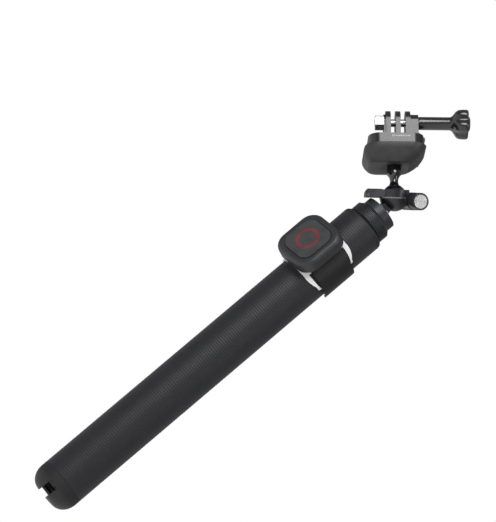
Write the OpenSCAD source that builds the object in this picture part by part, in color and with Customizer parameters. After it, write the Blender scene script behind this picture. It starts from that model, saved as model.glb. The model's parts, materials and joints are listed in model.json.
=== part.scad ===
// Telescopic action-camera handle with a ball head, a quick-release prong plate
// and a clip-on remote. Origin: centre of the butt end; +Z runs up the grip.

/* [Grip] */
// Length of the grip from the butt to the mouth
grip_len = 256; // [220:1:320]
// Outside diameter over the rubber sleeve
grip_d = 31; // [29:0.5:36]
// Thickness of the rubber sleeve
sleeve_t = 1.6; // [1.2:0.1:2.2]
// Wall of the aluminium core tube
core_t = 1.4; // [1:0.1:1.8]
// Height of the butt cap
cap_h = 14; // [11:0.5:20]
// Radius of the rounded edge at the butt
cap_round = 7.5; // [4:0.5:9]
// Width of the lanyard slot across the butt
slot_w = 6.3; // [5:0.1:8]
// Depth of the lanyard slot
slot_h = 8; // [6:0.5:9]
// Sideways place of the lanyard slot
slot_x = -2.4; // [-4:0.1:4]
// Height of the ring at the mouth of the grip
ring_h = 3.6; // [3.2:0.1:6]

/* [Pole] */
// Wall of each pole section
pole_t = 0.6; // [0.5:0.05:0.7]
// Wall of the plastic bushes between sections
bush_t = 0.85; // [0.7:0.05:0.95]
// Height of the bush at each mouth
bush_h = 14; // [8:1:20]
// Height of the slider ring at each foot
slider_h = 12; // [8:1:18]

/* [Pull collar and head base] */
// Outside diameter of the ribbed pull collar
collar_d = 27; // [24:0.1:28]
// Height of the ribbed part of the pull collar
collar_h = 6.4; // [4.5:0.1:8]
// Outside diameter of the smooth head base
neck_d = 22.3; // [21:0.1:24]
// Height of the straight side of the head base
neck_h = 5.1; // [4.5:0.1:8]
// Height of the crown on the head base
crown_h = 1.8; // [1.2:0.1:2]

/* [Ball clamp] */
// Turn of the hinge around the pole
hinge_turn = 11.7; // [-30:0.1:30]
// Angle between the clamp and the pole
clamp_tilt = 50; // [45:1:50]
// Turn of the clamp about its own upright axis
clamp_yaw = 4; // [0:1:20]
// Diameter of the ball
ball_d = 15; // [14:0.1:16]
// Wall of the nylon socket liner
liner_t = 0.7; // [0.6:0.05:0.9]
// Wall of the clamp jaws over the liner
jaw_t = 1; // [0.9:0.05:1.2]
// Diameter of the clamp knob
knob_d = 10.8; // [9:0.1:12]
// Length of the clamp knob
knob_len = 9; // [7:0.1:12]

/* [Ball stud] */
// Angle between the stud and the pole
head_tilt = 47.4; // [40:0.1:55]
// Lean of the stud to the back
lean_back = 11.2; // [-15:0.1:15]
// Turn of the head about the stud
head_turn = -8; // [-20:0.1:20]
// Diameter of the waist of the stud
waist_d = 5.1; // [4:0.1:6]
// Distance from the ball centre to the foot of the base
base_lift = 18.5; // [18:0.1:24]

/* [Quick release] */
// Width of the base and of the plate on it
base_w = 38; // [35:0.5:42]
// Depth of the base
base_d = 36; // [34:0.5:42]
// Height of the bowl-shaped base
base_h = 11.2; // [9.5:0.1:14]
// Sideways step from the stud to the middle of the base
seat_x = 0.8; // [-2:0.1:2]
// Sideways step from the middle of the plate to the middle prong
fork_x = 1.8; // [-3:0.1:3]
// Height of the prong plate
plate_h = 6.2; // [5:0.1:8]
// Thickness of one prong
prong_t = 3; // [2.8:0.1:3.1]
// Gap between two prongs
prong_gap = 3.1; // [3:0.05:3.4]
// Radius of the round prong ends
prong_r = 7.5; // [7:0.1:8]
// Height of the cross bolt above the plate
bolt_lift = 12.5; // [12:0.1:15]
// Diameter of the cross bolt
bolt_d = 4.84; // [4.6:0.02:4.9]

/* [Thumb screw] */
// Diameter of the long barrel
barrel_d = 8.2; // [6.4:0.1:9]
// Length of the long barrel
barrel_len = 19.3; // [14:0.1:26]
// Diameter over the lobes
lobe_d = 19.4; // [15:0.1:22]
// Length of the lobed head
lobe_len = 13; // [9:0.1:16]
// Number of lobes
lobe_count = 5; // [3:1:7]

/* [Remote] */
// Side of the square remote
remote_w = 34; // [32:0.5:38]
// Corner radius of the remote
remote_r = 9.5; // [6:0.5:11]
// Height of the middle of the remote above the butt
remote_z = 219.4; // [150:0.1:224]
// Turn of the remote around the grip
remote_turn = 43; // [0:1:60]
// Length of the clip along the grip
clip_len = 23.5; // [20:0.5:24]
// Side of the button panel
panel_w = 24.5; // [22:0.1:25]
// Diameter of the ring on the button
ring_d = 15.2; // [12:0.1:18]

/* [Hidden] */
$fn = 64;
// Clearances: a running fit, a loose gap between bodies, a cutter's overshoot and a joint's overlap
run_gap = 0.05;
gap = 0.3;
over = 1;
joined = 0.01;

grip_r = grip_d / 2;
core_r = grip_r - sleeve_t;
core_ri = core_r - core_t;
// The plug of the butt cap, and the foot of all pole sections above it
plug_h = 8;
pole_z = cap_h + plug_h + over;
lanyard_r = 1.4;
lanyard_end = 2.5;
lanyard_z = slot_h / 2 - 0.6;
lip_t = 1;
tube_top = grip_len - lip_t;
shoulder_r = 3;

// Outside radius of pole section i, counted from the grip inwards
function pole_r(i) = core_ri - bush_t - run_gap - (i - 1) * (pole_t + bush_t + run_gap);
function pole_ri(i) = pole_r(i) - pole_t;
pole_count = 5;

collar_r = collar_d / 2;
collar_z = grip_len + gap;
collar_top = collar_z + collar_h;
taper_h = 1.9;
neck_r = neck_d / 2;
neck_z = collar_top + taper_h;
neck_top = neck_z + neck_h;
crown_top = neck_top + crown_h;
// Sphere that gives the crown its height over the neck
crown_r = (pow(neck_r, 2) + pow(crown_h, 2)) / (2 * crown_h);
// Shallow grooves round the collar give the fingers a hold
groove_count = 4;
groove_w = 0.6;
groove_deep = 0.35;
groove_pitch = 1.2;
collar_wall = 1.6;
// The spigot of the head base in the last pole section, and the cross pin that holds it
spigot_len = 16;
head_pin_r = 1.2;
head_pin_drop = 2.2;

// Knuckle: the round end of the clamp's arm in the slot of the head base
knuckle_r = 3.3;
knuckle_w = 8;
hinge_z = neck_top - 0.5;
hinge_pin_r = 1.5;
hinge_pin_len = 2 * neck_r - 3.2;
// The arm between knuckle and clamp, and its sweep over the travel, in degrees from +Z
arm_w = 6;
arm_len = 5.6;
arm_lean = 40;
arm_sweep = [-14, 42];
slot_top = 14;

// Ball centre: a fixed step from the hinge, along and across the clamp's upright axis
ball_r = ball_d / 2;
liner_ri = ball_r + run_gap;
liner_r = liner_ri + liner_t;
jaw_ri = liner_r + run_gap;
jaw_r = jaw_ri + jaw_t;
ball_up = jaw_r + 0.96;
ball_side = 8.5;
rim_up = 4.2;
lip_up = 3.7;
rim_r = 7;
ear_side = 10.4;
ear_up = -2.8;
ear_r = 5.5;
ear_y = 7.8;
split = 0.8;
floor_up = -0.4;
jaw_step = 4.6;
lug_side = -13.1;
lug_r = 5.4;
lug_y = 4.5;
lug_low = -1.2;
lug_high = 4.5;
web_side = -10.6;
lug_pin_r = 1;
// Knob on the front ear, its bright disc, the screw through both ears and the nut behind them
knob_r = knob_d / 2;
knob_y = -ear_y - gap;
knob_neck = 0.9;
disc_t = 0.9;
disc_r = knob_r - 0.95;
screw_r = 1.75;
screw_gap = 0.25;
screw_deep = 3;
clamp_nut_r = 3.4;
clamp_nut_t = 2.6;

stud_r = 4.6;
waist_r = waist_d / 2;
waist_up = 9.8;
waist_curve = 6;
foot_t = 2.4;
retainer_r = 6.4;
retainer_h = 1.8;

base_top = base_lift + base_h;
cover_t = 1.2;
base_wall = 3;
magnet_r = 3.6;
magnet_t = 2;
magnet_x = 9.5;
// Sides of the bowl: steep at the rim, drawn in towards the foot, which sits a step to the left
bowl_skew = 4;
bowl_steps = [[0, 0.66], [0.18, 0.79], [0.42, 0.9], [0.7, 0.97], [0.88, 1], [1, 0.985]];
bowl_corner = 9;
// Cavity of the base and the dish under it, around the stud
cavity_w = base_w - 2 * base_wall - 1;
cavity_d = base_d - 2 * base_wall - 1;
cavity_corner = 5;
cover_corner = 6;
dish_r = 25.6;
dish_deep = 1.6;
screw_inset = 7.7;
screw_sink = 0.6;
screw_head_r = 1.3;
rest_gap = 0.2;
plate_z = base_top + rest_gap;
plate_top = plate_z + plate_h;
plate_w = base_w - 4;
plate_d = base_d - 4;
bolt_r = bolt_d / 2;
bolt_hole_r = bolt_r + 0.08;
bolt_z = plate_top + bolt_lift;
prong_half = 1.5 * prong_t + prong_gap;
boss_r = 5.4;
boss_right = 5.1;
boss_left = 1.2;
nut_t = 5.2;
nut_r = 4.9;
latch_t = 0.9;
latch_slot = 2.6;
latch_w = 14;
latch_travel = 1.5;
tongue_t = 1.4;
tongue_len = 5;
tongue_w = 10;
tongue_z = 0.5;
keeper_t = 0.2;
plate_corner = 7;
web_len = 4.2;
web_h = 5.4;

knob_x = prong_half + boss_right + gap;
barrel_r = barrel_d / 2;
lobe_r = 2.7;
lobe_at = lobe_d / 2 - lobe_r;
lobe_core = lobe_at + 0.4;
lobe_cap = 1.6;
bolt_deep = 2;

// Clip and pad around the grip, with the remote on top; heights are from the grip's axis
pad_ri = grip_r + 0.2;
pad_t = 0.8;
pad_r = pad_ri + pad_t;
clip_t = 1.3;
clip_r = pad_r + clip_t;
clip_wrap = 128;
pad_len = 33;
pad_wrap = 89;
pad_past = 1.2;
shell_foot = clip_r - 1.7;
shell_seam = clip_r + 1.3;
shell_top = shell_seam + 5.6;
shell_lip = 0.8;
shell_round = 2.4;
seal_t = 0.5;
cell_r = 10;
cell_t = 2.4;
board_t = 0.7;
board_z = shell_seam + cell_t + 0.15;
switch_r = 3;
switch_t = 0.4;
flange_t = 0.5;
flange_w = 1;
lip_z = shell_top - shell_lip;
flange_z = lip_z - 0.1 - flange_t;
panel_top = shell_top + 0.2;
ring_w = 1.7;
ring_t = 0.35;
screw_at = remote_w / 2 - 5;
shell_screw_r = 0.8;
shell_head_r = 1.5;
shell_screw_up = 2.4;

grip_black = [0.11, 0.11, 0.12];
soft_black = [0.17, 0.17, 0.18];
collar_grey = [0.24, 0.24, 0.26];
base_grey = [0.2, 0.2, 0.21];
metal = [0.78, 0.78, 0.8];

// ---------------------------------------------------------------- placing
module at_hinge()
  translate([0, 0, hinge_z]) rotate([0, 0, hinge_turn]) rotate([0, -clamp_tilt, 0]) children();

// Clamp frame: origin at the ball centre, +Z up the clamp, -Y towards the knob
module at_clamp()
  at_hinge() translate([ball_side, 0, ball_up]) rotate([0, 0, clamp_yaw]) children();

// Head frame: origin at the ball centre, +Z up the stud, +X along the cross bolt
module at_head()
  at_hinge() translate([ball_side, 0, ball_up]) rotate([0, clamp_tilt, 0]) rotate([0, 0, -hinge_turn])
    rotate([0, -head_tilt, 0]) rotate([-lean_back, 0, 0]) rotate([0, 0, head_turn]) children();

// The base and the plate sit a little to the side of the stud
module at_seat()
  at_head() translate([seat_x, 0, 0]) children();

// Fork frame: on the seat, over the middle prong, at the height of the cross bolt
module at_bolt()
  at_head() translate([seat_x + fork_x, 0, bolt_z]) children();

// The same shape on the right and, mirrored, on the left
module on_side(side)
  mirror([side > 0 ? 0 : 1, 0, 0]) children();

// Remote frame: origin on the grip's axis, +Z out through the button, +X up the grip
module at_remote()
  translate([0, 0, remote_z]) rotate([0, 0, -remote_turn]) rotate([90, 0, 0])
    rotate([0, 0, 90]) children();

// A cylinder along +X or +Y
module rod_x(r, x0, x1)
  translate([x0, 0, 0]) rotate([0, 90, 0]) cylinder(r = r, h = x1 - x0);
module rod_y(r, y0, y1)
  translate([0, y0, 0]) rotate([-90, 0, 0]) cylinder(r = r, h = y1 - y0);

// A box from its low corner to its high corner
module span(low, high)
  translate(low) cube(high - low);

// A ring about Z
module tube(ro, ri, z0, z1)
  difference() {
    translate([0, 0, z0]) cylinder(r = ro, h = z1 - z0);
    translate([0, 0, z0 - over]) cylinder(r = ri, h = z1 - z0 + 2 * over);
  }

// A flat square with round corners
module rounded(w, d, r)
  union() {
    square([w, d - 2 * r], center = true);
    square([w - 2 * r, d], center = true);
    for (sx = [-1, 1], sy = [-1, 1])
      translate([sx * (w / 2 - r), sy * (d / 2 - r)]) circle(r = r);
  }

module slab(w, d, r, z0, z1)
  translate([0, 0, z0]) linear_extrude(z1 - z0) rounded(w, d, r);

// ---------------------------------------------------------------- grip
module grip_tube()
  color(metal) tube(core_r, core_ri, cap_h, tube_top);

module grip_sleeve()
  color(grip_black) tube(grip_r, core_r, cap_h, grip_len - ring_h);

module lanyard_rod()
  translate([0, 0, lanyard_z])
    rod_x(lanyard_r, slot_x - slot_w / 2 - lanyard_end, slot_x + slot_w / 2 + lanyard_end);

module butt_cap()
  color(soft_black) difference() {
    union() {
      rotate_extrude() {
        square([grip_r - cap_round, cap_h]);
        translate([0, cap_round]) square([grip_r, cap_h - cap_round]);
        translate([grip_r - cap_round, cap_round]) circle(r = cap_round);
      }
      translate([0, 0, cap_h - over]) cylinder(r = core_ri, h = plug_h + over);
    }
    span([slot_x - slot_w / 2, -grip_r - over, -over], [slot_x + slot_w / 2, grip_r + over, slot_h]);
    lanyard_rod();
  }

module lanyard_bar()
  color(metal) lanyard_rod();

module mouth_ring()
  color(soft_black) rotate_extrude() difference() {
    union() {
      translate([pole_r(1) + gap, grip_len - ring_h])
        square([grip_r - shoulder_r - pole_r(1) - gap, ring_h]);
      translate([pole_r(1) + gap, grip_len - ring_h])
        square([grip_r - pole_r(1) - gap, ring_h - shoulder_r]);
      intersection() {
        translate([grip_r - shoulder_r, grip_len - shoulder_r]) circle(r = shoulder_r);
        translate([pole_r(1), grip_len - ring_h]) square([grip_r, ring_h]);
      }
    }
    translate([0, grip_len - ring_h - over]) square([core_r, ring_h - lip_t + over]);
  }

module mouth_bush()
  color(soft_black) tube(core_ri, pole_r(1) + run_gap, tube_top - bush_h, tube_top);

// ---------------------------------------------------------------- pole
// Only the last section goes on into the pull collar
function pole_top(i) = i == pole_count ? neck_z : grip_len;

module pole_tube(i)
  color(collar_grey) difference() {
    tube(pole_r(i), pole_ri(i), pole_z, pole_top(i));
    if (i == pole_count) head_pin_rod();
  }

module slider(i)
  color(soft_black) tube(pole_r(i) + bush_t, pole_r(i), pole_z, pole_z + slider_h);

module bush(i)
  color(soft_black) tube(pole_ri(i), pole_r(i + 1) + run_gap, grip_len - bush_h, grip_len);

module pull_collar()
  color(collar_grey) difference() {
    rotate_extrude() difference() {
      polygon([
        [pole_r(pole_count), collar_z], [collar_r, collar_z], [collar_r, collar_top],
        [neck_r + 0.3, neck_z], [pole_r(pole_count), neck_z]]);
      for (i = [0:groove_count - 1])
        translate([collar_r - groove_deep, collar_z + 0.5 + i * groove_pitch])
          square([over, groove_w]);
      translate([pole_r(pole_count) + collar_wall, collar_z - over])
        square([collar_r - 2 * collar_wall - pole_r(pole_count), collar_h - collar_wall + over]);
    }
    head_pin_rod();
  }

module head_pin_rod()
  translate([0, 0, neck_z - head_pin_drop])
    rod_x(head_pin_r, -pole_r(pole_count) - 1, pole_r(pole_count) + 1);

module head_pin()
  color(metal) head_pin_rod();

function turned(p, a) = [p[0] * cos(a) + p[1] * sin(a), p[1] * cos(a) - p[0] * sin(a)];

module head_base()
  color(collar_grey) difference() {
    rotate_extrude() union() {
      translate([0, neck_z - spigot_len]) square([pole_ri(pole_count), spigot_len + over]);
      translate([0, neck_z]) square([neck_r, neck_h]);
      intersection() {
        translate([0, neck_top - 0.2]) square([neck_r, crown_h + over]);
        translate([0, crown_top - crown_r]) circle(r = crown_r, $fn = 180);
      }
    }
    translate([0, 0, hinge_z]) rotate([0, 0, hinge_turn]) {
      translate([0, knuckle_w / 2 + gap, 0]) rotate([90, 0, 0])
        linear_extrude(knuckle_w + 2 * gap) union() {
          circle(r = knuckle_r + gap);
          polygon([for (e = [[0, -1, 0], [0, -1, slot_top], [1, 1, slot_top], [1, 1, 0]])
            turned([e[1] * (arm_w / 2 + gap), e[2]], arm_sweep[e[0]])]);
        }
      rod_y(hinge_pin_r, -hinge_pin_len / 2, hinge_pin_len / 2);
    }
    head_pin_rod();
  }

module tilt_pin()
  color(metal) translate([0, 0, hinge_z]) rotate([0, 0, hinge_turn])
    rod_y(hinge_pin_r, -hinge_pin_len / 2, hinge_pin_len / 2);

// ---------------------------------------------------------------- ball clamp
// Everything the two jaws are cut from, still in one piece
module clamp_blank()
  difference() {
    union() {
      sphere(r = jaw_r);
      cylinder(r = jaw_r, h = rim_up);
      translate([ear_side, 0, ear_up]) rod_y(ear_r, -ear_y, ear_y);
      intersection() {
        span([jaw_r / 2, -ear_y, ear_up - 2.2], [ear_side, ear_y, ear_up + ear_r]);
        cylinder(r = ear_side + ear_r, h = 40, center = true);
      }
      intersection() {
        translate([lug_side, 0, 0]) rod_y(lug_r, -lug_y, lug_y);
        span([lug_side - lug_r - over, -lug_y, lug_low], [lug_side + lug_r, lug_y, lug_high]);
      }
      span([web_side, -lug_y, lug_low], [-jaw_r / 2, lug_y, rim_up - 0.4]);
    }
    sphere(r = jaw_ri);
    cylinder(r = jaw_ri, h = lip_up);
    cylinder(r = rim_r, h = rim_up + over);
    translate([0, 0, rim_up]) cylinder(r = jaw_r + gap, h = jaw_r);
  }

// The space of the front jaw, grown by g where the rear one keeps clear of it
module front_zone(g) {
  span([-40, -40, floor_up - g], [40, -split / 2 + g, 40]);
  span([jaw_step - g, -40, -40], [40, -split / 2 + g, 40]);
}

module lug_pin_rod(r)
  translate([lug_side, 0, lug_low + 0.8]) cylinder(r = r, h = lug_high - lug_low - 1.6);

module clamp_body()
  color(collar_grey) difference() {
    union() {
      at_clamp() difference() {
        clamp_blank();
        front_zone(split);
      }
      difference() {
        at_hinge() {
          rod_y(knuckle_r, -knuckle_w / 2, knuckle_w / 2);
          rotate([0, arm_lean, 0])
            span([-arm_w / 2, -knuckle_w / 2, 0], [arm_w / 2, knuckle_w / 2, arm_len]);
        }
        at_clamp() sphere(r = jaw_r - 0.2);
        at_clamp() front_zone(split);
      }
    }
    at_hinge() rod_y(hinge_pin_r + run_gap, -knuckle_w, knuckle_w);
    at_clamp() {
      translate([ear_side, 0, ear_up]) {
        rod_y(screw_r + screw_gap, -over, ear_y + over);
        rod_y(clamp_nut_r, ear_y - clamp_nut_t, ear_y + over);
      }
      lug_pin_rod(lug_pin_r);
    }
  }

module clamp_nut()
  color(metal) at_clamp() translate([ear_side, 0, ear_up]) difference() {
    rod_y(clamp_nut_r, ear_y - clamp_nut_t, ear_y);
    rod_y(screw_r + screw_gap, -over, ear_y + over);
  }

module lug_pin()
  color(metal) at_clamp() lug_pin_rod(lug_pin_r);

module clamp_jaw()
  color(collar_grey) at_clamp() difference() {
    intersection() {
      clamp_blank();
      front_zone(0);
    }
    translate([ear_side, 0, ear_up]) rod_y(screw_r + screw_gap, -ear_y - over, over);
    lug_pin_rod(lug_pin_r + gap);
  }

module clamp_knob()
  color(soft_black) at_clamp() translate([ear_side, 0, ear_up]) difference() {
    union() {
      rod_y(knob_r, knob_y - knob_len, knob_y - knob_neck);
      rod_y(knob_r - 1.8, knob_y - knob_neck - over, knob_y);
    }
    rod_y(disc_r, knob_y - knob_len - over, knob_y - knob_len + disc_t);
    rod_y(screw_r, knob_y - knob_len + screw_deep, knob_y + over);
  }

module knob_disc()
  color(metal) at_clamp() translate([ear_side, 0, ear_up])
    rod_y(disc_r, knob_y - knob_len + 0.1, knob_y - knob_len + disc_t);

module clamp_screw()
  color(metal) at_clamp() translate([ear_side, 0, ear_up])
    rod_y(screw_r, knob_y - knob_len + screw_deep, ear_y + 0.8);

module socket_liner()
  color("white") at_clamp() difference() {
    union() {
      sphere(r = liner_r);
      cylinder(r = liner_r, h = lip_up - 0.1);
    }
    sphere(r = liner_ri);
    translate([0, 0, lip_up - 0.1]) cylinder(r = liner_r + over, h = liner_r);
  }

// ---------------------------------------------------------------- ball stud
module ball_stud()
  color(soft_black) at_head() {
    sphere(r = ball_r);
    rotate_extrude() difference() {
      translate([0, 4]) square([stud_r, base_lift + foot_t + run_gap - 4]);
      translate([waist_r + waist_curve, waist_up]) circle(r = waist_curve);
    }
  }

module stud_retainer()
  color(metal) at_head() translate([0, 0, base_lift + foot_t + run_gap])
    cylinder(r = retainer_r, h = retainer_h);

// ---------------------------------------------------------------- quick-release base
module bowl()
  hull() for (s = bowl_steps)
    translate([-bowl_skew * (1 - s[0]), 0, 0])
      slab(base_w * s[1], base_d * s[1], bowl_corner * s[1], base_lift + base_h * s[0] - 0.1,
        base_lift + base_h * s[0], $fn = 32);

module qr_base()
  color(base_grey) difference() {
    at_seat() difference() {
      bowl();
      slab(base_w - 2 * base_wall, base_d - 2 * base_wall, cover_corner, base_top - cover_t, base_top + over);
      slab(cavity_w, cavity_d, cavity_corner, base_lift + base_h / 2, base_top);
    }
    at_head() {
      translate([0, 0, base_lift + dish_deep - dish_r]) sphere(r = dish_r, $fn = 96);
      cylinder(r = stud_r + run_gap, h = base_top);
      translate([0, 0, base_lift + foot_t]) cylinder(r = retainer_r + gap, h = base_h);
    }
  }

// The four screws of the cover, each h high from its seat
module cover_screws(h)
  for (sx = [-1, 1], sy = [-1, 1])
    translate([sx * (base_w / 2 - screw_inset), sy * (base_d / 2 - screw_inset), base_top - screw_sink])
      cylinder(r = screw_head_r, h = h);

module base_cover()
  color(soft_black) at_seat() difference() {
    slab(base_w - 2 * base_wall, base_d - 2 * base_wall, cover_corner, base_top - cover_t, base_top);
    cover_screws(over);
  }

module base_magnets()
  color(metal) at_seat() for (side = [-1, 1])
    translate([side * magnet_x, 0, base_top - cover_t - magnet_t]) cylinder(r = magnet_r, h = magnet_t);

module base_screws()
  color(metal) at_seat() cover_screws(screw_sink - 0.1);

// ---------------------------------------------------------------- prong plate
// One prong or boss: a round end on a straight foot, cut out of a sheet of thickness t
module prong_at(x0, t, r)
  translate([x0, 0, 0]) rotate([90, 0, 90]) linear_extrude(t) union() {
    translate([0, bolt_z]) circle(r = r);
    translate([-r, plate_top - 0.5]) square([2 * r, bolt_z - plate_top + 0.5]);
  }

// A web that stiffens an outer boss on the plate
module gusset()
  translate([0, prong_r - 2.5, plate_top]) rotate([90, 0, 0]) linear_extrude(2 * prong_r - 5)
    polygon([[0, -0.5], [web_len, -0.5], [web_len, 0.6], [1.2, 3.6], [0, web_h]]);

// The tongue of a latch on the right; spare makes the pocket that it slides in
module latch_tongue(spare)
  span([plate_w / 2 - latch_slot - tongue_len - spare * latch_travel, -tongue_w / 2 - spare * gap,
        plate_z + tongue_z - spare * gap],
       [plate_w / 2 + 0.1, tongue_w / 2 + spare * gap, plate_z + tongue_z + tongue_t + spare * gap]);

module qr_plate()
  color(soft_black) difference() {
    union() {
      at_seat() slab(plate_w, plate_d, plate_corner, plate_z, plate_top);
      at_head() translate([seat_x + fork_x, 0, 0]) {
        for (i = [-1:1])
          prong_at(i * (prong_t + prong_gap) - prong_t / 2, prong_t, prong_r);
        prong_at(prong_half - joined, boss_right, boss_r);
        prong_at(-prong_half - boss_left, boss_left + joined, boss_r);
        on_side(1) translate([prong_half + boss_right - 0.2, 0, 0]) gusset();
        on_side(-1) translate([prong_half + boss_left - 0.2, 0, 0]) gusset();
      }
    }
    at_bolt() rod_x(bolt_hole_r, -prong_half - boss_left - over, knob_x + over);
    at_seat() for (side = [-1, 1]) on_side(side) {
      span([plate_w / 2 - latch_slot, -latch_w / 2 - gap, plate_z - over],
           [plate_w / 2 + over, latch_w / 2 + gap, plate_top + over]);
      latch_tongue(1);
      translate([magnet_x, 0, plate_z - over]) cylinder(r = magnet_r, h = over + keeper_t + 0.2);
    }
  }

module plate_magnets()
  color(metal) at_seat() for (side = [-1, 1])
    translate([side * magnet_x, 0, plate_z]) cylinder(r = magnet_r, h = keeper_t);

module prong_nut()
  color(metal) at_bolt() difference() {
    translate([-prong_half - boss_left - nut_t, 0, 0]) rotate([0, 90, 0])
      cylinder(r = nut_r, h = nut_t, $fn = 6);
    rod_x(bolt_hole_r, -prong_half - boss_left - nut_t - over, knob_x);
  }

module latch(side)
  color(base_grey) at_seat() on_side(side) {
    span([plate_w / 2 - latch_t, -latch_w / 2, plate_z + tongue_z],
         [plate_w / 2, latch_w / 2, plate_top + 1]);
    latch_tongue(0);
  }

// ---------------------------------------------------------------- thumb screw
module thumb_knob()
  color(soft_black) at_bolt() difference() {
    union() {
      rod_x(barrel_r, knob_x, knob_x + barrel_len + bolt_deep);
      translate([knob_x + barrel_len - bolt_deep, 0, 0]) rotate([0, 90, 0])
        cylinder(r1 = barrel_r, r2 = lobe_core, h = 3.4);
      rod_x(lobe_core, knob_x + barrel_len + 1, knob_x + barrel_len + lobe_len - lobe_cap);
      for (i = [0:lobe_count - 1])
        rotate([i * 360 / lobe_count, 0, 0]) translate([0, 0, lobe_at])
          rod_x(lobe_r, knob_x + barrel_len, knob_x + barrel_len + lobe_len - lobe_cap);
      rod_x(lobe_core - 2, knob_x + barrel_len, knob_x + barrel_len + lobe_len);
    }
    rod_x(bolt_r, knob_x - over, knob_x + barrel_len - bolt_deep);
  }

module thumb_bolt()
  color(metal) at_bolt()
    rod_x(bolt_r, 0.5 - prong_half - boss_left - nut_t, knob_x + barrel_len - bolt_deep);

// ---------------------------------------------------------------- clip and pad
// A band of the grip's surface: wrap degrees to each side of the remote, len long
module band(ri, ro, len, wrap)
  rotate([0, 0, -90 - remote_turn - wrap]) rotate_extrude(angle = 2 * wrap)
    translate([ri, remote_z - len / 2]) square([ro - ri, len]);

module remote_clip()
  color(soft_black) band(pad_r, clip_r, clip_len, clip_wrap);

module clip_pad()
  color("white") intersection() {
    band(pad_ri, pad_r, pad_len, pad_wrap);
    at_remote() translate([0, 0, -over])
      cylinder(r = norm([pad_r, clip_len / 2 + pad_past]), h = clip_r + over);
  }

// ---------------------------------------------------------------- remote
// The outer form of the two shells together
module remote_form()
  hull() {
    slab(remote_w, remote_w, remote_r, shell_foot + 0.8, shell_top - shell_round, $fn = 32);
    slab(remote_w - 1.4, remote_w - 1.4, remote_r - 0.7, shell_foot, shell_top - shell_round / 3, $fn = 32);
    slab(remote_w - 2 * shell_round, remote_w - 2 * shell_round, remote_r - shell_round,
      shell_top - over, shell_top, $fn = 32);
  }

module remote_screw_at(r, z0, z1)
  for (sx = [-1, 1], sy = [-1, 1])
    translate([sx * screw_at, sy * screw_at, z0]) cylinder(r = r, h = z1 - z0);

module remote_base()
  color(soft_black) at_remote() difference() {
    intersection() {
      remote_form();
      span([-remote_w, -remote_w, 0], [remote_w, remote_w, shell_seam]);
    }
    rod_x(clip_r + gap, -clip_len / 2 - gap, clip_len / 2 + gap);
    rod_x(pad_r + gap, -remote_w, remote_w);
    remote_screw_at(shell_screw_r, 0, shell_seam + over);
    remote_screw_at(shell_head_r, 0, shell_foot + 1);
    seal_ring(0);
  }

// A groove and a seal in the joint of the shells
module seal_ring(lift)
  difference() {
    slab(remote_w - 2.6, remote_w - 2.6, remote_r - 1.3, shell_seam - seal_t, shell_seam + lift);
    slab(remote_w - 4.6, remote_w - 4.6, remote_r - 2.3, shell_seam - 2 * seal_t, shell_seam + over);
  }

module remote_seal()
  color("gray") at_remote() seal_ring(0);

module remote_top()
  color(soft_black) at_remote() difference() {
    intersection() {
      remote_form();
      span([-remote_w, -remote_w, shell_seam], [remote_w, remote_w, shell_top + over]);
    }
    slab(panel_w + 2 * gap, panel_w + 2 * gap, 7, lip_z - over, shell_top + over);
    slab(panel_w + 2 * flange_w + gap, panel_w + 2 * flange_w + gap, 7.6, shell_seam - over, lip_z);
    remote_screw_at(shell_screw_r, shell_seam - over, shell_seam + shell_screw_up);
  }

module coin_cell()
  color(metal) at_remote() translate([0, 0, shell_seam + 0.05]) cylinder(r = cell_r, h = cell_t);

module remote_circuit()
  color("darkgreen") at_remote()
    slab(panel_w + 2 * flange_w, panel_w + 2 * flange_w, 7.4, board_z, board_z + board_t);

module remote_switch()
  color(metal) at_remote() translate([0, 0, board_z + board_t]) cylinder(r = switch_r, h = switch_t);

module remote_screws()
  color(metal) at_remote() {
    remote_screw_at(shell_screw_r, shell_foot + 0.9, shell_seam + shell_screw_up);
    remote_screw_at(shell_head_r, shell_foot + 0.2, shell_foot + 1);
  }

module button_panel()
  color(soft_black) at_remote() difference() {
    union() {
      slab(panel_w, panel_w, 6.7, flange_z, panel_top);
      slab(panel_w + 2 * flange_w - gap, panel_w + 2 * flange_w - gap, 7.4, flange_z, flange_z + flange_t);
    }
    tube(ring_d / 2, ring_d / 2 - ring_w, panel_top - ring_t, panel_top + over);
  }

module button_ring()
  color("darkred") at_remote()
    tube(ring_d / 2, ring_d / 2 - ring_w, panel_top - ring_t, panel_top + 0.05);

// ---------------------------------------------------------------- what is drawn
grip_tube();
grip_sleeve();
butt_cap();
lanyard_bar();
mouth_ring();
mouth_bush();
pole_tube(1);  // pole_tube_1
pole_tube(2);  // pole_tube_2
pole_tube(3);  // pole_tube_3
pole_tube(4);  // pole_tube_4
pole_tube(5);  // pole_tube_5
slider(1);  // slider_1
slider(2);  // slider_2
slider(3);  // slider_3
slider(4);  // slider_4
slider(5);  // slider_5
bush(1);  // bush_1
bush(2);  // bush_2
bush(3);  // bush_3
bush(4);  // bush_4
pull_collar();
head_base();
head_pin();
tilt_pin();
clamp_body();
clamp_nut();
lug_pin();
clamp_jaw();
clamp_knob();
knob_disc();
clamp_screw();
socket_liner();
ball_stud();
stud_retainer();
qr_base();
base_cover();
base_magnets();
base_screws();
qr_plate();
plate_magnets();
prong_nut();
latch(-1);  // latch_left
latch(1);  // latch_right
thumb_knob();
thumb_bolt();
remote_clip();
clip_pad();
remote_base();
remote_top();
remote_seal();
coin_cell();
remote_circuit();
remote_switch();
remote_screws();
button_panel();
button_ring();
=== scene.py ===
import json
import math

import bmesh
import bpy
import numpy as np
from mathutils import Matrix, Vector


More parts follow.
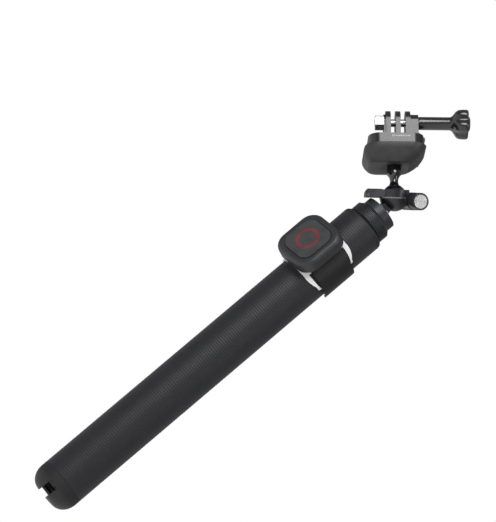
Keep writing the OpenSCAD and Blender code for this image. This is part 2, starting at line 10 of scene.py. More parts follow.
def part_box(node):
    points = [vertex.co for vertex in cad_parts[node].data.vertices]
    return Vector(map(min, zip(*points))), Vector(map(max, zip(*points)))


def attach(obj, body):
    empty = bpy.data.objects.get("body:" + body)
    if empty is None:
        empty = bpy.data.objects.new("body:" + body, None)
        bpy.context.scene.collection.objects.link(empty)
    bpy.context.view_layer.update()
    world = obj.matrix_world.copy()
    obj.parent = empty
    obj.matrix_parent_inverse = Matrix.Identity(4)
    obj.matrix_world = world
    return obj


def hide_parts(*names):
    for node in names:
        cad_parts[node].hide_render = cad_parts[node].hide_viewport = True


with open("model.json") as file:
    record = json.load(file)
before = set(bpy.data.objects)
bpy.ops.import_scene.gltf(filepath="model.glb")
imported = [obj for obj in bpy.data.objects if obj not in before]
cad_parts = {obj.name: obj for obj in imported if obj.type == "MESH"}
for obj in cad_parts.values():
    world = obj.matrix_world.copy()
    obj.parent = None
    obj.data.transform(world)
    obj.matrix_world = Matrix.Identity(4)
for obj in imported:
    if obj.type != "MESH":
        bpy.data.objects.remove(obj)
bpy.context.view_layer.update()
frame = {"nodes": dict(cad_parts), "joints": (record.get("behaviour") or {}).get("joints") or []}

# ---------------------------------------------------------------- studio
# A pale floor well below the stick, an even white surround and three soft boxes.
# The long lens looks slightly up, and is rolled so that the stick lies across the frame.
aim = Vector((-0.0296, 0.0, 0.18634))
view_up, view_roll, view_far = math.radians(-11.0), math.radians(50.03), 1.4146
frame_right, frame_up = -0.00054, -0.00021
back = Vector((0, -math.cos(view_up), math.sin(view_up)))
flat_up = Vector((0, math.sin(view_up), math.cos(view_up)))
right = Vector((1, 0, 0)) * math.cos(view_roll) + flat_up * math.sin(view_roll)
up = back.cross(right)
camera = bpy.data.objects.new("camera", bpy.data.cameras.new("camera"))
view_from = aim + right * frame_right + up * frame_up + back * view_far
camera.matrix_world = Matrix.Translation(view_from) @ Matrix((right, up, back)).transposed().to_4x4()
camera.data.lens = 160
camera.data.clip_end = 20
bpy.context.scene.collection.objects.link(camera)
bpy.context.scene.camera = camera
bpy.context.scene.view_settings.view_transform = "Standard"

surround_light, surround_white = 0.25, 1.0
world = bpy.data.worlds.new("surround")
bpy.context.scene.world = world
world.use_nodes = True
tree = world.node_tree
seen = tree.nodes.new("ShaderNodeLightPath")
level = tree.nodes.new("ShaderNodeMapRange")
level.inputs["To Min"].default_value = surround_light
level.inputs["To Max"].default_value = surround_white
tree.links.new(seen.outputs["Is Camera Ray"], level.inputs["Value"])
tree.links.new(level.outputs["Result"], tree.nodes["Background"].inputs["Strength"])
tree.nodes["Background"].inputs["Color"].default_value = (1, 1, 1, 1)


def soft_box(name, side, rise, near, wide, high, watts):
    """A rectangular lamp aimed at the stick, placed to the side of, above and in front of it."""
    lamp = bpy.data.objects.new(name, bpy.data.lights.new(name, "AREA"))
    lamp.data.shape = "RECTANGLE"
    lamp.data.size, lamp.data.size_y, lamp.data.energy = wide, high, watts
    spot = aim + right * side + up * rise + back * near
    facing = (spot - aim).to_track_quat("Z", "Y").to_matrix().to_4x4()
    lamp.matrix_world = Matrix.Translation(spot) @ facing
    bpy.context.scene.collection.objects.link(lamp)


soft_box("key_box", side=0.3, rise=0.8, near=0.8, wide=0.7, high=0.5, watts=8)
soft_box("side_box", side=1.0, rise=0.1, near=0.5, wide=0.4, high=0.8, watts=2.5)
soft_box("low_box", side=-0.9, rise=-0.5, near=0.5, wide=0.5, high=0.5, watts=0.5)

floor_half, floor_z = 4, -0.6
floor_corners = [(x * floor_half, y * floor_half, floor_z) for x, y in ((-1, -1), (1, -1), (1, 1), (-1, 1))]
floor_mesh = bpy.data.meshes.new("studio_floor")
floor_mesh.from_pydata(floor_corners, [], [(0, 1, 2, 3)])
studio_floor = bpy.data.objects.new("studio_floor", floor_mesh)
bpy.context.scene.collection.objects.link(studio_floor)
pale = bpy.data.materials.new("pale_floor")
pale.use_nodes = True
paper = pale.node_tree.nodes["Principled BSDF"].inputs
paper["Base Color"].default_value = (0.86, 0.86, 0.86, 1)
paper["Roughness"].default_value = 0.9
paper["Emission Color"].default_value = (1, 1, 1, 1)
paper["Emission Strength"].default_value = 0.55
floor_mesh.materials.append(pale)

# ---------------------------------------------------------------- butt cap and mouth ring
# Moulded ABS cap pressed into the grip tube, with a slot for the wrist strap across its
# end, and the moulded ring that closes the rubber sleeve at the mouth.


def finish_of(name, colour, rough, grain, deep, shade=0.2, fleck=0.006, uneven=0.12, **shader):
    """A moulded, coated or metal surface: cloudy colour, uneven gloss and a fine grain."""
    made = bpy.data.materials.new(name)
    made.use_nodes = True
    net = made.node_tree
    bsdf = net.nodes["Principled BSDF"]
    for socket, value in shader.items():
        bsdf.inputs[socket.replace("_", " ")].default_value = value
    place = net.nodes.new("ShaderNodeTexCoord")

    def cloud(size, detail):
        noise = net.nodes.new("ShaderNodeTexNoise")
        noise.inputs["Scale"].default_value = 1 / size
        noise.inputs["Detail"].default_value = detail
        net.links.new(place.outputs["Object"], noise.inputs["Vector"])
        return noise

    tint = net.nodes.new("ShaderNodeValToRGB")
    tint.color_ramp.elements[0].position = 0.3
    tint.color_ramp.elements[1].position = 0.7
    tint.color_ramp.elements[0].color = [c * (1 - shade) for c in colour] + [1]
    tint.color_ramp.elements[1].color = [min(1, c * (1 + shade)) for c in colour] + [1]
    net.links.new(cloud(fleck, 4).outputs["Fac"], tint.inputs["Fac"])
    net.links.new(tint.outputs["Color"], bsdf.inputs["Base Color"])
    gloss = net.nodes.new("ShaderNodeMapRange")
    gloss.inputs["To Min"].default_value = rough * (1 - uneven)
    gloss.inputs["To Max"].default_value = min(1, rough * (1 + uneven))
    net.links.new(cloud(fleck * 0.4, 3).outputs["Fac"], gloss.inputs["Value"])
    net.links.new(gloss.outputs["Result"], bsdf.inputs["Roughness"])
    bump = net.nodes.new("ShaderNodeBump")
    bump.inputs["Strength"].default_value = 0.35
    bump.inputs["Distance"].default_value = deep
    net.links.new(cloud(grain, 2).outputs["Fac"], bump.inputs["Height"])
    net.links.new(bump.outputs["Normal"], bsdf.inputs["Normal"])
    return made


nodes = frame["nodes"]


def dress(material, *names):
    """Gives CAD pieces, which keep their shape, one finish."""
    for name in names:
        nodes[name].data.materials.clear()
        nodes[name].data.materials.append(material)


def lathe(name, outline, steps, swell=None):
    """A closed outline of (radius, height) points, turned about Z.

    A point on the axis is given a tiny radius. The swell reshapes a radius by its angle.
    """
    rings = []
    shape = bmesh.new()
    for radius, height in outline:
        ring = []
        for k in range(steps):
            turn = 2 * math.pi * k / steps
            reach = swell(turn, radius) if swell else radius
            ring.append(shape.verts.new((reach * math.cos(turn), reach * math.sin(turn), height)))
        rings.append(ring)
    for i, ring in enumerate(rings):
        after = rings[(i + 1) % len(rings)]
        for k in range(steps):
            shape.faces.new((ring[k], ring[(k + 1) % steps], after[(k + 1) % steps], after[k]))
    return solid(name, shape)


def solid(name, shape, crease=40):
    """Cleans up a closed mesh and makes an object of it, smooth but for edges sharper than the crease."""
    bmesh.ops.remove_doubles(shape, verts=shape.verts, dist=1e-7)
    bmesh.ops.dissolve_degenerate(shape, edges=shape.edges, dist=1e-7)
    bmesh.ops.recalc_face_normals(shape, faces=shape.faces)
    mesh = bpy.data.meshes.new(name)
    shape.to_mesh(mesh)
    shape.free()
    for face in mesh.polygons:
        face.use_smooth = True
    mesh.set_sharp_from_angle(angle=math.radians(crease))
    made = bpy.data.objects.new(name, mesh)
    bpy.context.scene.collection.objects.link(made)
    return made


def fit(piece, material, body, slot, *replaced):
    """Gives a new piece its finish, and sets it on its body in place of CAD nodes."""
    piece.data.materials.append(material)
    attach(piece, body)
    if replaced:
        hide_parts(*replaced)


cap_abs = finish_of("cap_abs", (0.009, 0.009, 0.01), rough=0.55, grain=0.0004, deep=0.00003)
dress(cap_abs, "mouth_ring")

cap_top, cap_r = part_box("butt_cap")[1].z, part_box("butt_cap")[1].x
bar_low, bar_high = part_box("lanyard_bar")
cap_edge_w, cap_edge_h, cap_edge_steps = 0.0088, 0.0105, 16
plug_h = 0.008
slot_side, slot_high, slot_back = 0.0025, 0.008, 0.003
notch_past = 0.001
cap_axis = 0.00002
cap_outline = [(cap_axis, cap_top), (cap_axis, 0)]
for k in range(cap_edge_steps + 1):
    turn = math.pi / 2 * k / cap_edge_steps
    cap_outline.append((cap_r - cap_edge_w + cap_edge_w * math.sin(turn), cap_edge_h * (1 - math.cos(turn))))
plug_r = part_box("mouth_bush")[1].x
cap_outline += [(cap_r, cap_top - plug_h), (plug_r, cap_top - plug_h), (plug_r, cap_top)]
rounded_cap = lathe("rounded_cap", cap_outline, steps=96)
notch = bmesh.new()
bmesh.ops.create_cube(notch, size=1)
notch_low = Vector((bar_low.x + slot_side, -cap_r - notch_past, -notch_past))
notch_high = Vector((bar_high.x - slot_side, cap_r - slot_back, slot_high))
for corner in notch.verts:
    corner.co = Vector(high if share > 0 else low
                       for share, low, high in zip(corner.co, notch_low, notch_high))
notch_form = solid("notch_form", notch)
cut = rounded_cap.modifiers.new("notch", "BOOLEAN")
cut.object, cut.operation, cut.solver = notch_form, "DIFFERENCE", "EXACT"
cut_cap = rounded_cap.evaluated_get(bpy.context.evaluated_depsgraph_get())
notched_mesh = bpy.data.meshes.new_from_object(cut_cap)
rounded_cap.modifiers.clear()
rounded_cap.data = notched_mesh
bpy.data.objects.remove(notch_form)
fit(rounded_cap, cap_abs, "grip", "cap_plastic", "butt_cap")

# ---------------------------------------------------------------- grip sleeve
# Black rubber sleeve stretched over the tube, moulded with a fine rib every 1.6 mm so
# that a wet hand holds it. It runs from the cap to the mouth ring.
sleeve_low, sleeve_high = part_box("grip_sleeve")
sleeve_r = sleeve_high.x
core_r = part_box("grip_tube")[1].x
rib_pitch, rib_deep = 0.0016, 0.0001
rib_count = round((sleeve_high.z - sleeve_low.z) / rib_pitch)
rib_pitch = (sleeve_high.z - sleeve_low.z) / rib_count
rib_shape = ((0.08, 1), (0.22, 0.3), (0.4, 0), (0.68, 0), (0.86, 0.3))
sleeve_outline = [(core_r, sleeve_high.z), (core_r, sleeve_low.z)]
for k in range(rib_count):
    foot = sleeve_low.z + k * rib_pitch
    for share, sunk in rib_shape:
        sleeve_outline.append((sleeve_r - sunk * rib_deep, foot + share * rib_pitch))
sleeve_outline.append((sleeve_r - rib_deep, sleeve_high.z))
ribbed_sleeve = lathe("ribbed_sleeve", sleeve_outline, steps=96)
ribbed_rubber = finish_of("ribbed_rubber", (0.0095, 0.0098, 0.0135), rough=0.5, grain=0.0003, deep=0.00002,
                          Sheen_Weight=0.08)
fit(ribbed_sleeve, ribbed_rubber, "grip", "grip_rubber", "grip_sleeve")

# ---------------------------------------------------------------- tubes and bushes
# Black anodised aluminium: the core tube of the grip and five thin pole sections, which slide
# in turned nylon bushes. Only the ends show until the pole is drawn out. The strap's steel bar
# across the cap gets the same black finish, as painted shade in the cap's slot.
section_count = 5
pole_tubes = [f"pole_tube_{i + 1}" for i in range(section_count)]
sliders = [f"slider_{i + 1}" for i in range(section_count)]
bushes = [f"bush_{i + 1}" for i in range(section_count - 1)]
anodised_tube_and_bar_shade = finish_of("anodised_tube_and_bar_shade", (0.03, 0.03, 0.034), rough=0.34, grain=0.0009, deep=0.000003,
                          Metallic=0.7)
# the steel strap bar takes this black finish as painted shade in the cap's slot
dress(anodised_tube_and_bar_shade, "grip_tube", "lanyard_bar", *pole_tubes)
bush_nylon = finish_of("bush_nylon", (0.03, 0.03, 0.03), rough=0.6, grain=0.0005, deep=0.00002)
dress(bush_nylon, "mouth_bush", *bushes, *sliders)

# ---------------------------------------------------------------- pull collar
# Turned aluminium collar, painted dark grey, pinned on the last pole section. The
# fingers pull it out by its fine grooves; its neck tapers to the head base.
collar_low, collar_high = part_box("pull_collar")
collar_r = collar_high.x
neck_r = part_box("head_base")[1].x
tube_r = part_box("pole_tube_5")[1].x
taper_h, taper_gap = 0.0019, 0.0003
collar_top = collar_high.z - taper_h
collar_edge = 0.0004
groove_count, groove_deep = 6, 0.0003
groove_shape = ((0.3, 0), (0.5, 1), (0.7, 1), (0.9, 0))
collar_outline = [
    (tube_r, collar_high.z), (tube_r, collar_low.z), (collar_r - collar_edge, collar_low.z),
    (collar_r - 0.3 * collar_edge, collar_low.z + 0.3 * collar_edge), (collar_r, collar_low.z + collar_edge)]
groove_pitch = (collar_top - collar_low.z - 2 * collar_edge) / groove_count
for k in range(groove_count):
    foot = collar_low.z + collar_edge + k * groove_pitch
    for share, sunk in groove_shape:
        collar_outline.append((collar_r - sunk * groove_deep, foot + share * groove_pitch))
collar_outline += [
    (collar_r, collar_top - collar_edge), (collar_r - 0.3 * collar_edge, collar_top - 0.3 * collar_edge),
    (collar_r - collar_edge, collar_top), (neck_r + taper_gap, collar_high.z)]
pull_ring = lathe("pull_ring", collar_outline, steps=128)
collar_paint = finish_of("collar_paint", (0.04, 0.041, 0.048), rough=0.42, grain=0.0005, deep=0.000003,
                         Metallic=0.5)
fit(pull_ring, collar_paint, "pole_5", "collar_metal", "pull_collar")

# ---------------------------------------------------------------- head base and clamp
# The slotted head base is turned from aluminium, and the two clamp jaws are cast in zinc;
# all three are painted a satin dark grey. They turn on steel pins, and a nylon liner
# between the jaws holds the ball.
head_paint = finish_of("head_paint", (0.045, 0.046, 0.053), rough=0.38, grain=0.0005, deep=0.000003,
                       Metallic=0.5)
dress(head_paint, "head_base")
cast_paint = finish_of("cast_paint", (0.024, 0.024, 0.028), rough=0.33, grain=0.0004, deep=0.000008,
                       Metallic=0.35, Coat_Weight=0.2)
dress(cast_paint, "clamp_body", "clamp_jaw")
bright_steel = finish_of("bright_steel", (0.62, 0.62, 0.63), rough=0.32, grain=0.0009, deep=0.000001,
                         shade=0.08, Metallic=1.0)
dress(bright_steel, "head_pin", "tilt_pin", "clamp_nut", "lug_pin", "clamp_screw", "stud_retainer",
      "base_screws", "prong_nut", "thumb_bolt", "remote_screws", "remote_switch")
liner_nylon = finish_of("liner_nylon", (0.7, 0.7, 0.68), rough=0.45, grain=0.0005, deep=0.00001, shade=0.04)
dress(liner_nylon, "socket_liner")

# ---------------------------------------------------------------- clamp knob
# Moulded black knob that draws the jaws together. A disc of bright aluminium, turned
# with fine rings, is pressed in its end.


def look_along(origin, along, across):
    """A frame at origin with Z along one direction, and X as near as it goes to another."""
    z = along.normalized()
    x = (across - z * across.dot(z)).normalized()
    return Matrix.Translation(origin) @ Matrix((x, z.cross(x), z)).transposed().to_4x4()


def extent(node, origin, along):
    """The lowest and highest place of a node along an axis, and its reach from that axis."""
    points = np.array([v.co for v in nodes[node].data.vertices]) - np.array(origin)
    heights = points @ np.array(along)
    spread = np.linalg.norm(points - np.outer(heights, np.array(along)), axis=1)
    return float(heights.min()), float(heights.max()), float(spread.max())


joint = {j["name"]: j for j in frame["joints"]}
screw_at = Vector(joint["knob_turn"]["pos_m"])
screw_dir = Vector(joint["knob_turn"]["axis"]).normalized()
knob_low, knob_high, knob_r = extent("clamp_knob", screw_at, screw_dir)
disc_low, disc_high, disc_r = extent("knob_disc", screw_at, screw_dir)
knob_edge, screw_hole_r = 0.0004, 0.0019
step_in, step_h, disc_seat = 0.0018, 0.0009, 0.0009
step_r, step_z, seat_z = knob_r - step_in, knob_low + step_h, knob_high - disc_seat
knob_outline = [
    (screw_hole_r, knob_low), (step_r, knob_low), (step_r, step_z), (knob_r - knob_edge, step_z),
    (knob_r, step_z + knob_edge), (knob_r, knob_high - knob_edge),
    (knob_r - 0.3 * knob_edge, knob_high - 0.3 * knob_edge), (knob_r - knob_edge, knob_high),
    (disc_r, knob_high), (disc_r, seat_z), (screw_hole_r, seat_z)]
knob_barrel = lathe("knob_barrel", knob_outline, steps=96)
knob_barrel.matrix_world = look_along(screw_at, screw_dir, Vector((1, 0, 0)))
knob_black = finish_of("knob_black", (0.022, 0.022, 0.024), rough=0.32, grain=0.0003, deep=0.00001)
fit(knob_barrel, knob_black, "knob", "knob_plastic", "clamp_knob")

ring_count, ring_deep, ring_flank = 16, 0.00003, 0.00009
disc_edge, disc_border, disc_axis = 0.0002, 0.0003, 0.00001
disc_outline = [(disc_axis, disc_low), (disc_r, disc_low), (disc_r, disc_high - disc_edge),
                (disc_r - disc_edge, disc_high)]
for k in range(ring_count - 1, 0, -1):
    ring_r = (disc_r - disc_border) * k / ring_count
    ring_z = disc_high - ring_deep * (k % 2)
    disc_outline += [(ring_r + ring_flank, ring_z), (ring_r, ring_z)]
disc_outline.append((disc_axis, disc_high))
spun_disc = lathe("spun_disc", disc_outline, steps=96)
spun_disc.matrix_world = look_along(screw_at, screw_dir, Vector((1, 0, 0)))
spun = finish_of("spun_aluminium", (0.55, 0.55, 0.56), rough=0.38, grain=0.0008, deep=0.000001,
                 shade=0.06, Metallic=1.0, Anisotropic=0.8)
radial = spun.node_tree.nodes.new("ShaderNodeTangent")
radial.direction_type = "RADIAL"
radial.axis = "Z"
spun.node_tree.links.new(radial.outputs["Tangent"], spun.node_tree.nodes["Principled BSDF"].inputs["Tangent"])
fit(spun_disc, spun, "knob", "spun_metal", "knob_disc")

# ---------------------------------------------------------------- ball stud
# Turned steel ball and waisted neck in one piece, plated glossy black, riveted over a
# washer inside the quick-release base.
black_plate = finish_of("black_plate", (0.006, 0.006, 0.007), rough=0.12, grain=0.0009, deep=0.000001,
                        Metallic=0.2, Coat_Weight=1.0, Coat_Roughness=0.06)
dress(black_plate, "ball_stud")

# ---------------------------------------------------------------- quick-release base
# Bowl-shaped moulding in matte glass-filled nylon. Its foot is dished round the stud, and
# a screwed cover holds two magnets under the prong plate.


def ring_points(wide, deep, corner, arc=12, flat=5):
    """A rounded rectangle as a fixed number of points, counter-clockwise from the right side."""
    corner = min(corner, wide / 2, deep / 2)
    points = []
    for quarter, (sx, sy) in enumerate(((1, 1), (-1, 1), (-1, -1), (1, -1))):
        centre = Vector((sx * (wide / 2 - corner), sy * (deep / 2 - corner)))
        arc_points = []
        for k in range(arc + 1):
            turn = math.pi / 2 * (quarter + k / arc)
            arc_points.append(centre + corner * Vector((math.cos(turn), math.sin(turn))))
        if points:
            points += [points[-1].lerp(arc_points[0], k / flat) for k in range(1, flat)]
        points += arc_points
    points += [points[-1].lerp(points[0], k / flat) for k in range(1, flat)]
    return points


def loft(name, stations):
    """Rounded rectangles (wide, deep, corner, height, shift), skinned one by one and back to the first."""
    shape = bmesh.new()
    rings = [[shape.verts.new((p.x + shift, p.y, height)) for p in ring_points(wide, deep, corner)]
             for wide, deep, corner, height, shift in stations]
    for i, ring in enumerate(rings):
        after = rings[(i + 1) % len(rings)]
        for k in range(len(ring)):
            shape.faces.new((ring[k], ring[(k + 1) % len(ring)], after[(k + 1) % len(ring)], after[k]))
    return solid(name, shape)


ball_at = Vector(joint["ball_spin"]["pos_m"])
stud_dir = Vector(joint["ball_spin"]["axis"]).normalized()
bolt_dir = Vector(joint["thumb_turn"]["axis"]).normalized()
depth_dir = stud_dir.cross(bolt_dir)
bowl_low, bowl_high, _ = extent("qr_base", ball_at, stud_dir)
rim_left, rim_right, _ = extent("base_cover", ball_at, bolt_dir)
front, rear, _ = extent("qr_base", ball_at, depth_dir)
seat_x = (rim_left + rim_right) / 2
bowl_wall = 0.003
bowl_w, bowl_d = rim_right - rim_left + 2 * bowl_wall, rear - front
bowl_h = bowl_high - bowl_low
bowl_corner, bowl_skew, skew_power = 0.009, 0.004, 0.8
stud_r, dish_r, dish_deep = 0.00465, 0.0256, 0.0016
cover_h, cover_corner = 0.0012, 0.006
hollow_in, hollow_corner = 0.001, 0.005
boss_w, boss_z = 0.0134, bowl_low + 0.0024
foot_wide, draw_power = 0.66, 2.2
foot_share, side_share, side_steps = 0.02, 0.95, 25
rim_wide = 0.985
dish_rings = (stud_r, 0.0058, 0.0072, 0.0086)
foot_edge = ((0.0, 0.955), (0.008, 0.985))
rim_edge = ((0.0003, 0.992), (0.0007, 1.0))


def side_at(share):
    """The width of the bowl at a share of its height: upright at the rim, drawn in towards the foot."""
    return 1 - (1 - foot_wide) * (1 - share) ** draw_power


bowl_stations = []
for across in dish_rings:
    height = bowl_low + dish_deep - dish_r + math.sqrt(dish_r ** 2 - across ** 2)
    bowl_stations.append((2 * across, 2 * across, across, height, -seat_x))
for share, drawn in foot_edge:
    bowl_stations.append((bowl_w * foot_wide * drawn, bowl_d * foot_wide * drawn, bowl_corner * foot_wide,
                          bowl_low + bowl_h * share, -bowl_skew))
for k in range(side_steps + 1):
    share = foot_share + side_share * k / side_steps
    scale = side_at(share)
    bowl_stations.append((bowl_w * scale, bowl_d * scale, bowl_corner * scale, bowl_low + bowl_h * share,
                          -bowl_skew * (1 - share) ** skew_power))
for inset, share in rim_edge:
    bowl_stations.append((bowl_w * rim_wide - inset, bowl_d * rim_wide - inset, bowl_corner * rim_wide,
                          bowl_low + bowl_h * share, 0))
cover_w, cover_d = bowl_w - 2 * bowl_wall, bowl_d - 2 * bowl_wall
hollow_w, hollow_d, hollow_z = cover_w - hollow_in, cover_d - hollow_in, bowl_low + bowl_h / 2
bowl_stations += [
    (cover_w, cover_d, cover_corner, bowl_high, 0),
    (cover_w, cover_d, cover_corner, bowl_high - cover_h, 0),
    (hollow_w, hollow_d, hollow_corner, bowl_high - cover_h, 0),
    (hollow_w, hollow_d, hollow_corner, hollow_z, 0),
    (boss_w, boss_w, boss_w / 2, hollow_z, -seat_x),
    (boss_w, boss_w, boss_w / 2, boss_z, -seat_x),
    (2 * stud_r, 2 * stud_r, stud_r, boss_z, -seat_x)]
base_bowl = loft("base_bowl", bowl_stations)
base_bowl.matrix_world = look_along(ball_at + bolt_dir * seat_x, stud_dir, bolt_dir)
bowl_nylon = finish_of("bowl_nylon", (0.03, 0.03, 0.032), rough=0.48, grain=0.0005, deep=0.00003)
fit(base_bowl, bowl_nylon, "base", "base_plastic", "qr_base")
cover_abs = finish_of("cover_abs", (0.02, 0.02, 0.021), rough=0.55, grain=0.0005, deep=0.00003)
dress(cover_abs, "base_cover")
nickel = finish_of("nickel", (0.7, 0.7, 0.68), rough=0.18, grain=0.0009, deep=0.000001,
                   shade=0.06, Metallic=1.0)
dress(nickel, "base_magnets", "plate_magnets")

# ---------------------------------------------------------------- prong plate
# Injection-moulded glass-filled nylon plate with three camera prongs, two latches that
# are squeezed to lift it off, and a printed row of plain position marks on its front.
plate_nylon = finish_of("plate_nylon", (0.011, 0.011, 0.012), rough=0.3, grain=0.0004, deep=0.000004,
                        Coat_Weight=0.3)
dress(plate_nylon, "qr_plate", "latch_left", "latch_right")
plate_foot = extent("base_cover", ball_at, stud_dir)[1]
plate_front = extent("qr_plate", ball_at, depth_dir)[0]
mark_count, mark_pitch, mark_w, mark_proud = 11, 0.00105, 0.00042, 0.00004
long_mark, short_mark, long_every = 0.0012, 0.0008, 5
marks_aside, marks_up, mark_bevel = 0.0029, 0.0044, 0.00001
marks = bmesh.new()
for k in range(mark_count):
    tall = long_mark if k % long_every == 0 else short_mark
    spot = Matrix.Translation((mark_pitch * (k - (mark_count - 1) / 2), 0, 0))
    bmesh.ops.create_cube(marks, size=1, matrix=spot @ Matrix.Diagonal((mark_w, mark_proud * 2, tall, 1)))
bmesh.ops.bevel(marks, geom=marks.edges[:], offset=mark_bevel, segments=1, affect="EDGES")
plate_marks = solid("plate_marks", marks)
marks_at = (ball_at + bolt_dir * (seat_x + marks_aside) + depth_dir * plate_front
            + stud_dir * (plate_foot + marks_up))
plate_marks.matrix_world = look_along(marks_at, stud_dir, bolt_dir)
print_white = finish_of("print_white", (0.7, 0.7, 0.7), rough=0.5, grain=0.0002, deep=0.000005, shade=0.05)
fit(plate_marks, print_white, "plate", "pad_silicone")

# ---------------------------------------------------------------- thumb screw
# Glossy moulded knob on a steel cross bolt: a long plain barrel that flares into a bell
# with five lobes, so that it can be turned with two fingers beside the camera.
bolt_at = Vector(joint["thumb_turn"]["pos_m"])
thumb_low, thumb_high, lobe_r = extent("thumb_knob", bolt_at, bolt_dir)
bolt_r = extent("thumb_bolt", bolt_at, bolt_dir)[2]
bell_h, barrel_r, barrel_edge = 0.013, 0.0041, 0.0004
bell_from = thumb_high - bell_h
bolt_end, thumb_axis = bell_from - 0.002, 0.00002
lobe_count, lobe_deep, lobe_growth, valley_power = 5, 0.2, 1.2, 1.6


def lobed(turn, radius):
    """Five lobes that grow out of the bell and die away at the barrel and at the middle of the end."""
    grown = min(1, max(0, (radius - barrel_r) / (lobe_r - barrel_r)))
    valley = ((1 - math.cos(lobe_count * turn)) / 2) ** valley_power
    return radius * (1 - lobe_deep * grown ** lobe_growth * valley)


bell = [  # height above the barrel's end, and radius as a share of the barrel's
    (0.0, 1.0), (0.0007, 1.03), (0.0014, 1.12), (0.0021, 1.3), (0.0028, 1.55), (0.0035, 1.83),
    (0.0042, 2.06), (0.005, 2.22), (0.006, 2.31), (0.0075, 2.355), (0.009, 2.366), (0.0105, 2.35),
    (0.0112, 2.28), (0.0116, 2.16), (0.0117, 1.9), (0.0117, 1.45), (0.0119, 1.25), (0.0124, 1.12),
    (0.0129, 0.9), (0.013, 0.6)]
thumb_outline = [
    (thumb_axis, thumb_high), (thumb_axis, bolt_end), (bolt_r, bolt_end),
    (bolt_r, thumb_low), (barrel_r - barrel_edge, thumb_low), (barrel_r, thumb_low + barrel_edge)]
thumb_outline += [(min(barrel_r * wide, lobe_r), bell_from + step) for step, wide in bell]
thumb_wheel = lathe("thumb_wheel", thumb_outline, steps=160, swell=lobed)
thumb_wheel.matrix_world = look_along(bolt_at, bolt_dir, depth_dir)
thumb_gloss = finish_of("thumb_gloss", (0.012, 0.0105, 0.0105), rough=0.24, grain=0.0006, deep=0.000001,
                        Coat_Weight=0.6, Coat_Roughness=0.1)
fit(thumb_wheel, thumb_gloss, "thumb_screw", "thumb_plastic", "thumb_knob")

# ---------------------------------------------------------------- clip and pad
# Springy moulded clip that snaps over the grip, and the soft white silicone pad inside it
# that keeps it from sliding.
clip_abs = finish_of("clip_abs", (0.0085, 0.0088, 0.0082), rough=0.36, grain=0.0004, deep=0.00001)
white_silicone = finish_of("pad_silicone", (0.9, 0.9, 0.9), rough=0.55, grain=0.0005, deep=0.00001,
                           shade=0.03)
dress(clip_abs, "remote_clip")
dress(white_silicone, "clip_pad")

remote_at = Vector((0, 0, sum(corner.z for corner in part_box("remote_top")) / 2))
out_dir = Vector(joint["remote_release"]["axis"]).normalized()
clip_end = (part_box("remote_clip")[1].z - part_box("remote_clip")[0].z) / 2
pad_gap, pad_thick, clip_over_pad = 0.0002, 0.00088, 0.00003
pad_inner = sleeve_r + pad_gap
pad_outer = pad_inner + pad_thick
lip_from, lip_to, lip_power = math.radians(45), math.radians(88), 0.7
clip_lip_reach, pad_lip_reach = 0.0018, 0.0048
lip_rooted, lip_least = 0.0006, 0.0001


def lip_edge(turn, reach):
    """The curved edge of a lip: furthest from the clip under the remote, down to nothing at its end."""
    along = (turn - lip_from) / (lip_to - lip_from)
    return clip_end + reach * max(0, math.cos(math.pi / 2 * along)) ** lip_power


def lips(name, low_reach, high_reach, outer, steps=28):
    """Thin curved lips on the grip's round, at both ends of the clip and on both of its sides."""
    shape = bmesh.new()
    side_dir = Vector((0, 0, 1)).cross(out_dir)
    for end in (-1, 1):
        for side in (-1, 1):
            rings = []
            for k in range(steps + 1):
                turn = lip_from + (lip_to - lip_from) * k / steps
                spoke = out_dir * math.cos(turn) + side_dir * side * math.sin(turn)
                low, high = lip_edge(turn, low_reach), lip_edge(turn, high_reach) + lip_least
                low -= lip_rooted if low_reach == 0 else 0
                rings.append([shape.verts.new(spoke * r + Vector((0, 0, remote_at.z + end * z)))
                              for r, z in ((pad_inner, low), (outer, low), (outer, high), (pad_inner, high))])
            for before, after in zip(rings, rings[1:]):
                for k in range(4):
                    shape.faces.new((before[k], before[(k + 1) % 4], after[(k + 1) % 4], after[k]))
            shape.faces.new(rings[0])
            shape.faces.new(rings[-1])
    return solid(name, shape, 30)


pad_lips = lips("pad_lips", clip_lip_reach, pad_lip_reach, pad_outer)
fit(pad_lips, white_silicone, "clip", "pad_silicone")
clip_lips = lips("clip_lips", 0, clip_lip_reach, pad_outer + clip_over_pad)
fit(clip_lips, clip_abs, "clip", "clip_plastic")

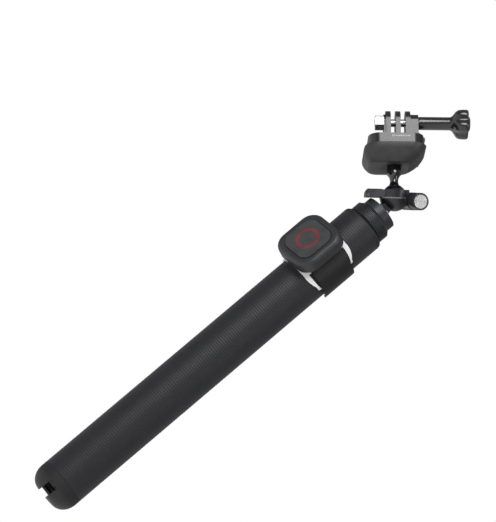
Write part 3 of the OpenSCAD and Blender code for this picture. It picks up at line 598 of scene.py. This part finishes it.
# ---------------------------------------------------------------- remote
# Two moulded shells, screwed together round a seal, hold the coin cell, the circuit board
# and its dome switch. The upper shell is pillow-edged, and frames the button panel.
seam, shell_top, _ = extent("remote_top", remote_at, out_dir)
shell_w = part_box("remote_top")[1].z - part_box("remote_top")[0].z
shell_corner, shell_round, round_steps = 0.0095, 0.0028, 8
shell_stations = [(shell_w, shell_w, shell_corner, seam, 0)]
for k in range(round_steps + 1):
    turn = math.pi / 2 * k / round_steps
    inset = 2 * shell_round * (1 - math.cos(turn))
    shell_stations.append((shell_w - inset, shell_w - inset, shell_corner - inset / 2,
                           shell_top - shell_round + shell_round * math.sin(turn), 0))
panel_hole, panel_corner, lead_in = 0.0251, 0.007, 0.0003
flange_hole, flange_corner = 0.0268, 0.0076
mouth_w, mouth_z = panel_hole + 2 * lead_in, shell_top - 0.0001
lip_z = shell_top - 0.0008
shell_stations += [
    (mouth_w, mouth_w, panel_corner + lead_in, mouth_z, 0),
    (panel_hole, panel_hole, panel_corner, mouth_z - lead_in, 0),
    (panel_hole, panel_hole, panel_corner, lip_z, 0),
    (flange_hole, flange_hole, flange_corner, lip_z, 0),
    (flange_hole, flange_hole, flange_corner, seam, 0)]
shell_frame = loft("shell_frame", shell_stations)
shell_frame.matrix_world = look_along(remote_at, out_dir, Vector((0, 0, 1)))
shell_plastic = finish_of("shell_abs", (0.027, 0.0275, 0.03), rough=0.46, grain=0.0003, deep=0.00002)
fit(shell_frame, shell_plastic, "remote", "remote_plastic", "remote_top")
dress(shell_plastic, "remote_base")
seal_rubber = finish_of("seal_rubber", (0.1, 0.1, 0.1), rough=0.6, grain=0.0004, deep=0.00001)
dress(seal_rubber, "remote_seal")
cell_steel = finish_of("cell_steel", (0.65, 0.65, 0.66), rough=0.25, grain=0.0009, deep=0.000001,
                       shade=0.06, Metallic=1.0)
dress(cell_steel, "coin_cell")
solder_mask = finish_of("solder_mask", (0.02, 0.12, 0.05), rough=0.3, grain=0.0008, deep=0.00002,
                        Coat_Weight=0.5)
dress(solder_mask, "remote_circuit")

# ---------------------------------------------------------------- button
# Soft matte panel over the dome switch, pressed anywhere to take a picture, with a dark
# red ring moulded into it.
button_matte = finish_of("button_matte", (0.048, 0.049, 0.051), rough=0.55, grain=0.0003, deep=0.00003)
dress(button_matte, "button_panel")
ring_red = finish_of("ring_red", (0.2, 0.028, 0.034), rough=0.42, grain=0.0004, deep=0.00001)
dress(ring_red, "button_ring")
